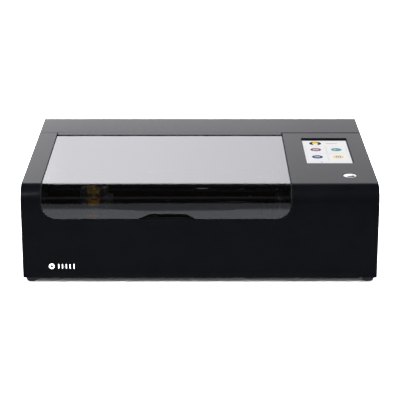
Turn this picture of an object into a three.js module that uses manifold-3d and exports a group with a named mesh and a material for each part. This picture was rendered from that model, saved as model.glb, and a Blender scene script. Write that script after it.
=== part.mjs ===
// Desktop laser cutter, millimetres, +Z up.
// Drawn with the case centred on Y = 0; the whole group is then moved by SHIFT_Y so
// that the outline, duct collar included, is centred on the origin.
import * as THREE from "three";
import { mergeVertices } from "three/examples/jsm/utils/BufferGeometryUtils.js";
import Module from "manifold-3d";

const wasm = await Module();
wasm.setup();

// ---------------------------------------------------------------- dimensions
const W = 615, D = 445, H = 177;      // outer case, feet included in H
const FOOT_H = 12;                    // underside of the base plate
const SHEET = 2;                      // steel sheet
const GAP = 0.3;                      // between parts that touch
const BEND = 28;                      // front-top bend, outer radius
const SEAM_Y = 116.6;                 // joint between front casing and rear cover
const COLLAR_OUT = 20;                // duct collar beyond the back
const SHIFT_Y = -COLLAR_OUT / 2;

const LID_X0 = -271.5, LID_X1 = 155.5, LID_REAR = 92, LID_T = 4, LID_BOTTOM = 120.7;
const LID_CORNER = 25, LID_CLEAR = 2;
const NOTCH = [[-105.7, 120.7], [-86, 130], [-23.8, 130], [-7, 120.7]];
const HINGE_Y = 99, HINGE_Z = 174.6, KNUCKLE_R = 2.2, PIN_R = 1.0, PIN_BORE_R = 1.15;
const KNUCKLES = 9;

const SCREEN = { x0: 191, x1: 277, y0: -81, y1: 79, z: 174.7 };
const BUTTON = { x: 262, y: -153, r: 11.6, top: 178.2, travel: 1.2 };

const WALL_X = 160;                   // left face of the right compartment's wall
const BULK_Y = 118;                   // front face of the rear bulkhead
const RAIL_Z = 112, RAIL_TOP = 124;   // rail shelf and rail upstand
const RAIL_L = -278, RAIL_R = 136, RAIL_W = 6;
const RAIL_Y0 = -212, RAIL_Y1 = 112;
const PULLEY_R = 6.37, BELT_T = 1.4, BELT_W = 6;
const Y_AXIS_Z = 103.4, Y_DRIVE_Y = 94, Y_IDLER_Y = -200;
const BELT_XL = -288, BELT_XR = 151;  // centres of the two long belts
const BEAM = { x0: -267.7, x1: 131.7, y0: -142, y1: -118, z0: 126, z1: 146.5 };
const X_AXIS_Y = -102, X_DRIVE_X = -250, X_IDLER_X = 112, X_BELT_Z = 148.6;
const HEAD = { x: -186, y: -158 };
const BEAM_Z = 147;                   // height of the light path
const BARREL_R = 11;

const BED = { x0: -250, x1: 120, y0: -190, y1: 90, z0: 38, z1: 46 };
const TUBE = { x0: -252, x1: 215, y: 149.5, z: 147, r: 24 };
const FAN = { x: 40, z: 72, y0: 181, y1: 217, half: 56, bore: 51, tip: 48.5, hub: 19 };
const COLLAR = { r: 50, wall: 2 };

// ---------------------------------------------------------------- helpers
function solid(geometry) {
  let g = geometry.clone();
  for (const a of ["normal", "uv"]) g.deleteAttribute(a);
  if (!g.index) {
    const n = g.attributes.position.count;
    g.setIndex([...Array(n).keys()]);
  }
  g = mergeVertices(g, 1e-4);
  const idx = [];
  const src = g.index.array;
  for (let i = 0; i < src.length; i += 3) {
    const [a, b, c] = [src[i], src[i + 1], src[i + 2]];
    if (a !== b && b !== c && a !== c) idx.push(a, b, c);
  }
  return new wasm.Manifold(new wasm.Mesh({
    numProp: 3,
    vertProperties: new Float32Array(g.attributes.position.array),
    triVerts: new Uint32Array(idx),
  }));
}

function geometryOf(s) {
  const m = s.getMesh();
  const g = new THREE.BufferGeometry();
  const n = m.numProp, count = m.vertProperties.length / n;
  const pos = new Float32Array(count * 3);
  for (let i = 0; i < count; i++)
    for (let k = 0; k < 3; k++) pos[3 * i + k] = m.vertProperties[n * i + k];
  g.setAttribute("position", new THREE.BufferAttribute(pos, 3));
  g.setIndex(new THREE.BufferAttribute(new Uint32Array(m.triVerts), 1));
  const flat = g.toNonIndexed();
  flat.computeVertexNormals();
  return flat;
}

const add = (...s) => s.reduce((a, b) => a.add(b));
const cut = (a, ...s) => s.reduce((x, y) => x.subtract(y), a);

function box(x0, x1, y0, y1, z0, z1) {
  const g = new THREE.BoxGeometry(x1 - x0, y1 - y0, z1 - z0);
  g.translate((x0 + x1) / 2, (y0 + y1) / 2, (z0 + z1) / 2);
  return solid(g);
}

const TO_X = new THREE.Matrix4().set(0, 0, 1, 0, 1, 0, 0, 0, 0, 1, 0, 0, 0, 0, 0, 1);
const TO_Y = new THREE.Matrix4().set(0, 1, 0, 0, 0, 0, 1, 0, 1, 0, 0, 0, 0, 0, 0, 1);

function extruded(points, a0, a1) {
  const shape = new THREE.Shape(points.map((p) => new THREE.Vector2(p[0], p[1])));
  const g = new THREE.ExtrudeGeometry(shape, { depth: a1 - a0, bevelEnabled: false, steps: 1 });
  g.translate(0, 0, a0);
  return g;
}
// outline in (y, z), along X
const prismX = (pts, x0, x1) => solid(extruded(pts, x0, x1).applyMatrix4(TO_X));
// outline in (x, z), along Y
const prismY = (pts, y0, y1) =>
  solid(extruded(pts.map(([x, z]) => [z, x]), y0, y1).applyMatrix4(TO_Y));
// outline in (x, y), along Z
const prismZ = (pts, z0, z1) => solid(extruded(pts, z0, z1));

// cylinder or cone along axis "x", "y" or "z" from a0 to a1 about (u, v)
function rod(axis, u, v, r, a0, a1, seg = 24, r2 = r) {
  const g = new THREE.CylinderGeometry(r2, r, a1 - a0, seg);
  place(g, axis, u, v, (a0 + a1) / 2);
  return solid(g);
}
function place(g, axis, u, v, a) {
  if (axis === "z") { g.rotateX(Math.PI / 2); g.translate(u, v, a); }
  if (axis === "y") g.translate(u, a, v);
  if (axis === "x") { g.rotateZ(-Math.PI / 2); g.translate(a, u, v); }
  return g;
}
// turned shape: [[radius, along], ...] starting and ending on the axis
function turned(axis, u, v, profile, seg = 24) {
  const g = new THREE.LatheGeometry(profile.map((p) => new THREE.Vector2(p[0], p[1])), seg);
  place(g, axis, u, v, 0);
  return solid(g);
}

// polygon with rounded corners: [[u, v, radius], ...]
function rounded(pts, n = 5) {
  const out = [];
  const c = pts.length;
  for (let i = 0; i < c; i++) {
    const [x, y, r = 0] = pts[i];
    if (!r) { out.push([x, y]); continue; }
    const a = pts[(i + c - 1) % c], b = pts[(i + 1) % c];
    const p = new THREE.Vector2(x, y);
    const u = new THREE.Vector2(a[0] - x, a[1] - y).normalize();
    const w = new THREE.Vector2(b[0] - x, b[1] - y).normalize();
    const half = Math.acos(Math.min(1, Math.max(-1, u.dot(w)))) / 2;
    const back = r / Math.tan(half);
    const mid = u.clone().add(w).normalize().multiplyScalar(r / Math.sin(half)).add(p);
    const s = u.clone().multiplyScalar(back).add(p).sub(mid);
    const e = w.clone().multiplyScalar(back).add(p).sub(mid);
    let t0 = Math.atan2(s.y, s.x), t1 = Math.atan2(e.y, e.x);
    while (t1 - t0 > Math.PI) t1 -= 2 * Math.PI;
    while (t1 - t0 < -Math.PI) t1 += 2 * Math.PI;
    for (let k = 0; k <= n; k++) {
      const t = t0 + ((t1 - t0) * k) / n;
      out.push([mid.x + r * Math.cos(t), mid.y + r * Math.sin(t)]);
    }
  }
  return out;
}
const roundRect = (u0, u1, v0, v1, r, n = 4) =>
  rounded([[u0, v0, r], [u1, v0, r], [u1, v1, r], [u0, v1, r]], n);

// the case's side outline, inset by o, from the foot of the front to (yRear, top)
const CY = -D / 2 + BEND, CZ = H - BEND;
function sidePath(o, zBottom, yRear, n = 12) {
  const pts = [[-D / 2 + o, zBottom]];
  for (let k = 0; k <= n; k++) {
    const t = Math.PI - (Math.PI / 2) * (k / n);
    pts.push([CY + (BEND - o) * Math.cos(t), CZ + (BEND - o) * Math.sin(t)]);
  }
  pts.push([yRear, H - o]);
  return pts;
}
const skin = (o0, o1, zBottom, yRear, x0, x1) =>
  prismX([...sidePath(o0, zBottom, yRear), ...sidePath(o1, zBottom, yRear).reverse()], x0, x1);

// closed belt round two equal pulleys; plane "yz" (width along X) or "xy" (width along Z)
function beltLoop(a0, a1, c, r, t, w0, w1, plane) {
  const loop = (rr) => {
    const pts = [];
    for (let k = 0; k <= 12; k++) {
      const q = -Math.PI / 2 + (Math.PI * k) / 12;
      pts.push([a1 + rr * Math.cos(q), c + rr * Math.sin(q)]);
    }
    for (let k = 0; k <= 12; k++) {
      const q = Math.PI / 2 + (Math.PI * k) / 12;
      pts.push([a0 + rr * Math.cos(q), c + rr * Math.sin(q)]);
    }
    return pts;
  };
  const mk = plane === "yz" ? prismX : prismZ;
  return cut(mk(loop(r + t), w0, w1), mk(loop(r), w0 - 1, w1 + 1));
}

// pulley with two flanges, on an axis, from a0 to a1
function pulley(axis, u, v, r, a0, a1) {
  return add(
    rod(axis, u, v, r, a0, a1, 20),
    rod(axis, u, v, r + 1.9, a0, a0 + 0.6, 20),
    rod(axis, u, v, r + 1.9, a1 - 0.6, a1, 20));
}

const root = new THREE.Group();
root.name = "desktop_laser_cutter";
function put(name, s, color, opt = {}) {
  const material = new THREE.MeshStandardMaterial({
    color, roughness: opt.rough ?? 0.5, metalness: opt.metal ?? 0,
    transparent: opt.alpha !== undefined, opacity: opt.alpha ?? 1,
  });
  const mesh = new THREE.Mesh(geometryOf(s), material);
  mesh.geometry.translate(0, SHIFT_Y, 0);
  mesh.name = name;
  root.add(mesh);
}
const PAINT = 0x2a2c30, STEEL = 0x9a9ca0, ALU = 0xb8babd, DARK = 0x1a1b1d, BLACK = 0x101012;

// ---------------------------------------------------------------- case
const x0w = LID_X0 - LID_CLEAR, x1w = LID_X1 + LID_CLEAR, zw = LID_BOTTOM - 1.7;
const windowFront = prismY(
  rounded([[x0w, 200], [x0w, zw, LID_CORNER + 1], [x1w, zw, LID_CORNER + 1], [x1w, 200]], 6),
  -240, CY + 4);
const windowTop = box(x0w, x1w, CY, SEAM_Y + 10, 150, 200);
put("front_casing", cut(
  skin(0, SHEET, FOOT_H + SHEET + GAP, SEAM_Y - GAP, -W / 2, W / 2),
  windowFront, windowTop,
  prismZ(roundRect(SCREEN.x0, SCREEN.x1, SCREEN.y0, SCREEN.y1, 3, 3), 170, 190),
  rod("z", BUTTON.x, BUTTON.y, 12.6, 170, 190, 32),
  box(x1w - 1, W / 2 + 1, SEAM_Y - 3.8, SEAM_Y + 1, H - 1.5, H + 1),
  box(-W / 2 - 1, x0w + 1, SEAM_Y - 0.8, SEAM_Y + 1, H - 1.5, H + 1)), PAINT);

const coverOut = rounded([[SEAM_Y + GAP, H], [D / 2, H, 7], [D / 2, 157], [D / 2 - SHEET, 157],
  [D / 2 - SHEET, H - SHEET, 5], [SEAM_Y + GAP, H - SHEET]], 4);
put("rear_cover", prismX(coverOut, -W / 2, W / 2), PAINT);

const slots = [];
for (let i = 0; i < 12; i++)
  slots.push(prismY(roundRect(126 + 8 * i, 130 + 8 * i, 30, 108, 1.9, 3), 215, 230));
put("back_panel", cut(
  box(-W / 2, W / 2, D / 2 - SHEET, D / 2, FOOT_H + SHEET + GAP, 156.7),
  rod("y", FAN.x, FAN.z, COLLAR.r - COLLAR.wall, 200, 240, 40),
  box(243.6, 292.4, 200, 240, 27.6, 95.4),
  box(246, 290, 200, 240, 110, 134),
  ...slots), PAINT);

function sidePlate(o, zb, ye, x0, x1) {
  const p = sidePath(o, zb, ye - 5);
  p.push([ye - 3.2, H - o - 0.5], [ye - 0.8, H - o - 2.2], [ye, H - o - 5], [ye, zb]);
  return prismX(p, x0, x1);
}
const ventsX = (x0, x1) => {
  const v = [];
  for (let i = 0; i < 9; i++)
    v.push(prismX(roundRect(-60 + 9 * i, -56 + 9 * i, 40, 78, 1.9, 3), x0, x1));
  return v;
};
put("left_panel", sidePlate(2.3, FOOT_H + SHEET + GAP, D / 2 - SHEET - GAP, -306.5, -304.5), PAINT);
put("right_panel", cut(
  sidePlate(2.3, FOOT_H + SHEET + GAP, D / 2 - SHEET - GAP, 304.5, 306.5),
  ...ventsX(300, 310)), PAINT);
const floorSlots = [];
for (let i = 0; i < 7; i++)
  floorSlots.push(prismZ(roundRect(205, 285, -120 + 12 * i, -116 + 12 * i, 1.9, 3), 5, 20));
put("base_plate", cut(box(-W / 2, W / 2, -D / 2, D / 2, FOOT_H, FOOT_H + SHEET),
  ...floorSlots), PAINT);
for (const [n, x, y] of [["foot_front_left", -294, -198], ["foot_front_right", 294, -198],
  ["foot_rear_left", -294, 198], ["foot_rear_right", 294, 198]])
  put(n, turned("z", x, y, [[0, 0 + 3], [3.2, 3], [3.2, 0.0], [9.6, 0], [10.6, 0.8],
    [11.8, FOOT_H - GAP], [0, FOOT_H - GAP]].map(([r, z]) => [r, z]), 24), BLACK, { rough: 0.8 });

// ---------------------------------------------------------------- lid and its hinge
const lidCutter = prismY(rounded([
  [LID_X0 - 20, 60], [LID_X0 - 20, LID_BOTTOM + LID_CORNER + 30], [LID_X0, LID_BOTTOM + LID_CORNER + 30],
  [LID_X0, LID_BOTTOM, LID_CORNER],
  [NOTCH[0][0], NOTCH[0][1], 4], [NOTCH[1][0], NOTCH[1][1], 7],
  [NOTCH[2][0], NOTCH[2][1], 7], [NOTCH[3][0], NOTCH[3][1], 4],
  [LID_X1, LID_BOTTOM, LID_CORNER],
  [LID_X1, LID_BOTTOM + LID_CORNER + 30], [LID_X1 + 20, LID_BOTTOM + LID_CORNER + 30],
  [LID_X1 + 20, 60]], 6), -240, CY - 6);
put("lid", cut(skin(0, LID_T, 104, LID_REAR, LID_X0, LID_X1), lidCutter), 0x2a2622,
  { rough: 0.08, alpha: 0.62 });

const step = (LID_X1 - LID_X0) / KNUCKLES;
const pinRod = (r, a0, a1, n = 16) => rod("x", HINGE_Y, HINGE_Z, r, a0, a1, n);
let bar = add(
  box(LID_X0, LID_X1, 101.6, SEAM_Y - GAP, 173, H),
  box(LID_X0, LID_X1, 101.6, 112, 171.2, 173.1),
  pinRod(PIN_R, LID_X0 + 1, LID_X1 - 1, 12));
let leaf = box(LID_X0 + 1, LID_X1 - 1, 72, 96.4, 171.2, 172.7);
for (let i = 0; i < KNUCKLES; i++) {
  const a = LID_X0 + step * i + 0.3, b = LID_X0 + step * (i + 1) - 0.3;
  if (i % 2 === 0) {
    bar = add(bar, pinRod(KNUCKLE_R, a, b), box(a, b, 99, 101.8, 172.6, 174.4));
  } else {
    leaf = add(leaf, cut(
      add(pinRod(KNUCKLE_R, a, b), box(a, b, 96.2, 98.4, 171.2, 172.7), box(a, b, 97.2, 99, 171.2, 173.4)),
      pinRod(PIN_BORE_R, a - 1, b + 1)));
  }
}
put("hinge_bar", bar, PAINT);
put("hinge_leaf", leaf, 0x55575a, { metal: 0.8 });

// ledges that the lid's edges rest on
const ledge = (xa, xb, xi) => add(
  skin(2.3, 6.3, 110, 70, Math.min(xa, xb), Math.max(xa, xb)),
  skin(4.5, 6.3, 110, 70, Math.min(xa, xi), Math.max(xa, xi)));
put("lid_ledge_left", ledge(-283, x0w - 0.4, -266), DARK);
put("lid_ledge_right", ledge(168, x1w + 0.4, 152), DARK);

// ---------------------------------------------------------------- chamber
put("chamber_front", prismX([[-216, 106], [-216, 108], [-203.5, 108], [-203.5, 117], [-202, 117],
  [-202, 14.4], [-203.5, 14.4], [-203.5, 106]], -265, 151), DARK);
put("bulkhead", cut(
  box(-304.2, 304.2, BULK_Y, BULK_Y + 1.6, 14.4, 174.6),
  rod("y", -290, BEAM_Z, 9, 110, 130, 20),
  prismY(roundRect(-60, 140, 26, 88, 6, 3), 110, 130)), DARK);
const wallPts = sidePath(7, 14.4, BULK_Y - GAP);
put("compartment_wall", cut(
  prismX([...wallPts, [BULK_Y - GAP, 14.4]], WALL_X, WALL_X + 1.6),
  rod("x", Y_DRIVE_Y, Y_AXIS_Z, 8, 150, 170, 20)), DARK);

const frameOut = box(BED.x0 - 6, BED.x1 + 6, BED.y0 - 6, BED.y1 + 6, 34, BED.z1);
let bedFrame = cut(frameOut,
  box(BED.x0 - GAP, BED.x1 + GAP, BED.y0 - GAP, BED.y1 + GAP, BED.z0 - GAP, 60),
  box(BED.x0 + 6, BED.x1 - 6, BED.y0 + 6, BED.y1 - 6, 30, 60));
for (const x of [BED.x0, BED.x1 - 10]) for (const y of [BED.y0, BED.y1 - 10])
  bedFrame = add(bedFrame, box(x, x + 10, y, y + 10, 14.4, BED.z0 - GAP));
put("bed_frame", bedFrame, ALU, { metal: 0.9, rough: 0.4 });
put("honeycomb", box(BED.x0, BED.x1, BED.y0, BED.y1, BED.z0, BED.z1), 0x8a8c90,
  { metal: 0.8, rough: 0.5 });

// ---------------------------------------------------------------- long rails and belts
const shelf = (xo, xr) => {
  const s = Math.sign(xr - xo);
  const pts = s > 0
    ? [[xo, RAIL_Z], [xr + RAIL_W, RAIL_Z], [xr + RAIL_W, RAIL_TOP], [xr, RAIL_TOP], [xr, RAIL_Z + 3], [xo, RAIL_Z + 3]]
    : [[xo, RAIL_Z], [xr, RAIL_Z], [xr, RAIL_TOP], [xr + RAIL_W, RAIL_TOP], [xr + RAIL_W, RAIL_Z + 3], [xo, RAIL_Z + 3]];
  return pts;
};
put("rail_left", add(prismY(shelf(-304.2, RAIL_L), RAIL_Y0, RAIL_Y1),
  box(-304.2, -302.2, RAIL_Y0, RAIL_Y1, 92, RAIL_Z + 1)), ALU, { metal: 0.9, rough: 0.35 });
put("rail_right", add(prismY(shelf(WALL_X - GAP, RAIL_R), RAIL_Y0 + 12, RAIL_Y1 - 2),
  box(WALL_X - 2.3, WALL_X - GAP, RAIL_Y0 + 12, 80, 92, RAIL_Z + 1)), ALU, { metal: 0.9, rough: 0.35 });
for (const [n, c] of [["y_belt_left", BELT_XL], ["y_belt_right", BELT_XR]])
  put(n, beltLoop(Y_IDLER_Y + (c > 0 ? 15 : 0), Y_DRIVE_Y, Y_AXIS_Z, PULLEY_R - 0.02 + 0.4, BELT_T - 0.4,
    c - BELT_W / 2, c + BELT_W / 2, "yz"), BLACK, { rough: 0.7 });
const yPulley = (c) => pulley("x", Y_DRIVE_Y, Y_AXIS_Z, PULLEY_R, c - 4.2, c + 4.2);
put("y_drive_shaft", add(rod("x", Y_DRIVE_Y, Y_AXIS_Z, 3, BELT_XL - 9, 172, 16),
  yPulley(BELT_XL), yPulley(BELT_XR)), STEEL, { metal: 1, rough: 0.3 });
const idler = (c, y) => add(pulley("x", y, Y_AXIS_Z, PULLEY_R, c - 4.2, c + 4.2),
  rod("x", y, Y_AXIS_Z, 2.5, c - 6.8, c + 6.8, 12));
put("y_idler_left", idler(BELT_XL, Y_IDLER_Y), STEEL, { metal: 1, rough: 0.3 });
put("y_idler_right", idler(BELT_XR - 0.5, Y_IDLER_Y + 15), STEEL, { metal: 1, rough: 0.3 });
put("y_motor", add(
  prismX(rounded([[Y_DRIVE_Y - 21, 83, 3], [Y_DRIVE_Y + 21, 83, 3], [Y_DRIVE_Y + 21, 125, 3], [Y_DRIVE_Y - 21, 125, 3]], 2), 172.4, 206),
  cut(rod("x", Y_DRIVE_Y, Y_AXIS_Z, 11, 168, 172.6, 20), rod("x", Y_DRIVE_Y, Y_AXIS_Z, 4, 160, 172.39, 16))),
  0x2c2d30, { metal: 0.5 });

// ---------------------------------------------------------------- gantry
const carriage = (s) => {
  // s = -1 left, +1 right; xi = inner side of the rail upstand
  const u0 = s < 0 ? RAIL_L : RAIL_R, u1 = u0 + RAIL_W;
  const xin0 = s < 0 ? u1 + 0.4 : u0 - 4, xin1 = s < 0 ? u1 + 4 : u0 - 0.4;
  const xou0 = s < 0 ? u0 - 4 : u1 + 0.4, xou1 = s < 0 ? u0 - 0.4 : u1 + 4;
  const lo = Math.min(xin0, xou0), hi = Math.max(xin1, xou1);
  const b = s < 0 ? BELT_XL + BELT_W / 2 + 0.8 : BELT_XR - BELT_W / 2 - 0.8;
  return add(
    box(lo, hi, -165, -97, RAIL_TOP + 0.4, 133.2),
    box(xin0, xin1, -165, -106, 100, 126),
    box(xou0, xou1, -165, -97, RAIL_Z + 3.4, 126),
    box(s < 0 ? -299 : lo, s < 0 ? hi : 157.5, -168, -97, 133, 137),
    box(Math.min(b, xin0), Math.max(b, xin1), -140, -122, 106.5, 111.5));
};
put("carriage_left", cut(add(carriage(-1),
  box(-268.1, -264.4, -117.6, -97, 118, 146),
  box(-268.1, -234, -117.6, -86, 143.8, 146.4)),
  rod("z", X_DRIVE_X, X_AXIS_Y, 4.2, 140, 150, 16)), 0x3a3c40, { metal: 0.6, rough: 0.45 });
put("carriage_right", add(carriage(1),
  box(RAIL_R - 4, RAIL_R - 0.4, -117.6, -97, 130, 146.8),
  box(100, RAIL_R - 0.4, -117.6, -91, 144, 146.8)), 0x3a3c40, { metal: 0.6, rough: 0.45 });
const bp = BEAM;
put("gantry_beam", prismX([[bp.y0, bp.z0], [bp.y1, bp.z0], [bp.y1, bp.z1], [bp.y0, bp.z1],
  [bp.y0, 139], [bp.y0 + 3, 139], [bp.y0 + 3, 133.5], [bp.y0, 133.5]], bp.x0, bp.x1), ALU,
  { metal: 0.9, rough: 0.35 });
put("x_motor", add(
  prismZ(roundRect(X_DRIVE_X - 14, X_DRIVE_X + 14, X_AXIS_Y - 14, X_AXIS_Y + 14, 2.5, 2), 113, 143.5)),
  0x2c2d30, { metal: 0.5 });
const xb0 = X_BELT_Z;
put("x_pulley", add(pulley("z", X_DRIVE_X, X_AXIS_Y, PULLEY_R, xb0 - 1, xb0 + 7.4),
  rod("z", X_DRIVE_X, X_AXIS_Y, 2.5, 143.8, xb0, 12)), STEEL, { metal: 1, rough: 0.3 });
put("x_idler", pulley("z", X_IDLER_X, X_AXIS_Y, PULLEY_R, xb0 - 1, xb0 + 7.4), STEEL,
  { metal: 1, rough: 0.3 });
put("x_belt", beltLoop(X_DRIVE_X, X_IDLER_X, X_AXIS_Y, PULLEY_R + 0.38, BELT_T - 0.4,
  xb0 + 0.2, xb0 + 0.2 + BELT_W, "xy"), BLACK, { rough: 0.7 });
// second mirror, on the left end of the gantry
put("mirror_2", cut(add(
  prismZ([[-300, -148], [-280, -148], [-280, -168], [-288, -168], [-300, -156]], 137.3, 158),
  rod("x", -150.5, 151, 3, -303, -299.5, 12)),
  rod("y", -290, BEAM_Z, 5, -158, -140, 16), rod("x", HEAD.y, BEAM_Z, 5, -290, -270, 16)),
  0x1d1e20, { metal: 0.4 });

// ---------------------------------------------------------------- head
const hx = HEAD.x, hy = HEAD.y;
put("head_carriage", cut(add(
  box(hx - 25, hx + 25, -146.6, BEAM.y0 - 0.4, 114, 150),
  box(hx - 25, hx + 25, -146.6, -111, BEAM.z1 + 0.6, 150),
  prismZ(rounded([[hx - 16, -146], [hx + 16, -146], [hx + 16, hy - 16, 10], [hx - 16, hy - 16, 10]], 4), 116, 127),
  box(hx + 18, hx + 34, -168, -146, 120, 142),
  rod("y", hx + 26, 131, 5.5, -172, -167.5, 20),
  box(hx - 6, hx + 6, -113, -110.6, BEAM.z1 + 0.6, 154),
  box(hx + 23, hx + 36, -159.6, -146, 112, 121)),
  rod("z", hx, hy, BARREL_R + 0.35, 100, 130, 32),
  box(hx - 1.2, hx + 1.2, hy - 20, hy - 8, 110, 130)), 0x55585c, { metal: 0.7, rough: 0.4 });
put("mirror_3", cut(add(
  prismY([[hx - 10.5, 148.6], [hx + 10.5, 148.6], [hx + 10.5, 150.6], [hx + 2, 161], [hx - 10.5, 161]], -170, -147),
  rod("z", hx, hy, 7.4, 137.6, 149.5, 24), box(hx - 7.4, hx + 7.4, -157, -147, 137.6, 149.5),
  rod("z", hx - 5.5, -164, 3, 160.5, 164.5, 12)),
  rod("x", hy, BEAM_Z, 5, hx - 20, hx, 16), rod("z", hx, hy, 5, 130, BEAM_Z, 16)),
  0xb8863a, { metal: 0.9, rough: 0.3 });
put("lens_barrel", turned("z", hx, hy, [[0, 96], [2.2, 96], [1.6, 88], [3.4, 88], [7.5, 97],
  [7.5, 101], [BARREL_R, 101], [BARREL_R, 108], [BARREL_R - 0.8, 108.6], [BARREL_R - 0.8, 111],
  [BARREL_R, 111.6], [BARREL_R, 134], [6, 134], [6, 104], [0, 104]], 32), 0xc8702a,
  { metal: 0.8, rough: 0.35 });
put("focus_probe", add(
  rod("y", hx + 30, 116, 3.4, -166, -160, 16),
  box(hx + 30, hx + 62, -164.6, -161.4, 114.2, 117.8),
  rod("x", -163, 116, 2.4, hx + 60, hx + 66, 12)), 0xb0b2b6, { metal: 0.9 });

// ---------------------------------------------------------------- rear compartment
const t = TUBE;
put("laser_tube", turned("x", t.y, t.z, [[0, t.x0], [9, t.x0], [9, t.x0 + 18], [t.r - 5, t.x0 + 26],
  [t.r, t.x0 + 31], [t.r, t.x1 - 31], [t.r - 5, t.x1 - 26], [9, t.x1 - 18], [9, t.x1], [0, t.x1]], 28),
  0xc9d6da, { rough: 0.05, alpha: 0.4 });
for (const [n, x] of [["tube_bracket_left", -190], ["tube_bracket_right", 150]])
  put(n, cut(box(x - 8, x + 8, 120.2, 175.4, 118, 173.4),
    rod("x", t.y, t.z, t.r + 0.5, x - 20, x + 20, 28), box(x - 20, x + 20, 125, 174, 147, 180)),
    0x303236, { rough: 0.6 });
put("mirror_1", cut(add(
  prismZ([[-300, 139], [-280, 139], [-280, 160], [-290, 160], [-300, 150]], 134, 160),
  box(-298, -282, 142, 156, 14.4, 134.5)),
  rod("y", -290, BEAM_Z, 5, 130, 149.5, 16), rod("x", 149.5, BEAM_Z, 5, -290, -270, 16)),
  0x1d1e20, { metal: 0.4 });
put("water_tank", add(
  prismZ(roundRect(-276, -130, 126, 214, 8, 3), 14.4, 96),
  rod("z", -245, 190, 14, 96, 106, 20),
  rod("z", -160, 170, 4, 96, 104, 12), rod("z", -200, 200, 4, 96, 104, 12)), 0xd8dadc, { alpha: 0.75 });
function hose(points, r) {
  const curve = new THREE.CatmullRomCurve3(points.map((p) => new THREE.Vector3(...p)), false, "centripetal");
  const shape = new THREE.Shape();
  for (let k = 0; k < 10; k++) {
    const q = (2 * Math.PI * k) / 10;
    if (k === 0) shape.moveTo(r, 0); else shape.lineTo(r * Math.cos(q), r * Math.sin(q));
  }
  shape.closePath();
  return solid(new THREE.ExtrudeGeometry(shape, { steps: 26, bevelEnabled: false, extrudePath: curve }));
}
put("coolant_hose_in", hose([[-160, 170, 104.8], [-160, 170, 110], [-156, 176, 117], [-130, 190, 124], [-80, 196, 133],
  [-40, 196, 135], [60, 196, 135], [150, 194, 137], [190, 188, 141], [204, 178, 145], [206, 170, 147], [206, 162.4, 147]], 3.4),
  0xc7d3d6, { alpha: 0.6 });
put("coolant_hose_out", hose([[-200, 200, 104.8], [-200, 200, 110], [-208, 198, 122], [-226, 192, 134],
  [-240, 184, 142], [-244, 174, 146], [-244, 168, 147], [-244, 162.4, 147]], 3.4), 0xc7d3d6, { alpha: 0.6 });
const fins = [];
for (let i = 0; i < 11; i++) fins.push(box(130 + 8.4 * i, 134.6 + 8.4 * i, 180, 196, 24, 112));
put("radiator", cut(box(122, 228, 184, 214, 16, 120), ...fins.map((f) => f)), 0x25272a, { metal: 0.5 });

const f = FAN;
const arms = [0, 1, 2, 3].map((k) => {
  const g = new THREE.BoxGeometry(f.bore + 3 - 14, 3, 5);
  g.translate((f.bore + 3 + 14) / 2, 0, 0);
  g.rotateY(Math.PI / 4 + (Math.PI / 2) * k);
  g.translate(f.x, f.y0 + 1.6, f.z);
  return solid(g);
});
put("fan_frame", add(
  cut(prismY(roundRect(f.x - f.half, f.x + f.half, f.z - f.half, f.z + f.half, 5, 3), f.y0, f.y1),
    rod("y", f.x, f.z, f.bore, f.y0 - 5, f.y1 + 5, 36)),
  rod("y", f.x, f.z, f.hub - 2, f.y0, f.y0 + 6, 24), ...arms), BLACK, { rough: 0.6 });
function blade(k, n) {
  // a twisted strip from the hub to the tip
  const r0 = f.hub - 1, r1 = f.tip, steps = 3, th = 1.6, cy = (f.y0 + f.y1) / 2 + 4;
  const pos = [], idx = [];
  for (let s = 0; s <= steps; s++) {
    const r = r0 + ((r1 - r0) * s) / steps, pitch = 0.95 - 0.35 * (s / steps);
    const chord = 10 + 4.5 * (s / steps);
    const lag = 0.22 * (s / steps);
    for (const [c, o] of [[-1, -1], [1, -1], [1, 1], [-1, 1]]) {
      const tang = c * chord * Math.cos(pitch) - o * (th / 2) * Math.sin(pitch);
      const ax = c * chord * Math.sin(pitch) + o * (th / 2) * Math.cos(pitch);
      const a = (2 * Math.PI * k) / n + lag;
      const x = r * Math.cos(a) - tang * Math.sin(a), z = r * Math.sin(a) + tang * Math.cos(a);
      pos.push(f.x + x, cy + ax, f.z + z);
    }
  }
  const q = (a, b, c, d) => idx.push(a, b, c, a, c, d);
  for (let s = 0; s < steps; s++)
    for (let e = 0; e < 4; e++) {
      const a = 4 * s + e, b = 4 * s + ((e + 1) % 4);
      q(a, b, b + 4, a + 4);
    }
  q(3, 2, 1, 0); const m = 4 * steps; q(m, m + 1, m + 2, m + 3);
  const g = new THREE.BufferGeometry();
  g.setAttribute("position", new THREE.BufferAttribute(new Float32Array(pos), 3));
  g.setIndex(idx);
  let s = solid(g);
  if (s.volume() < 0) {
    for (let i = 0; i < idx.length; i += 3) [idx[i], idx[i + 1]] = [idx[i + 1], idx[i]];
    g.setIndex(idx); s = solid(g);
  }
  return s.intersect(rod("y", f.x, f.z, f.tip + 0.4, f.y0, f.y1 + 2, 36));
}
const blades = [...Array(7).keys()].map((k) => blade(k, 7));
put("fan_impeller", add(rod("y", f.x, f.z, f.hub, f.y0 + 6.6, f.y1 - 2, 24), ...blades), DARK,
  { rough: 0.5 });
put("duct_collar", cut(add(
  rod("y", f.x, f.z, COLLAR.r, D / 2 + GAP, D / 2 + COLLAR_OUT, 40),
  rod("y", f.x, f.z, COLLAR.r + 8, D / 2 + GAP, D / 2 + 3, 40),
  cut(rod("y", f.x, f.z, COLLAR.r + 1, D / 2 + COLLAR_OUT - 3.4, D / 2 + COLLAR_OUT - 1, 40))),
  rod("y", f.x, f.z, COLLAR.r - COLLAR.wall, D / 2 - 5, D / 2 + 30, 40)), BLACK, { rough: 0.5 });

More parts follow.
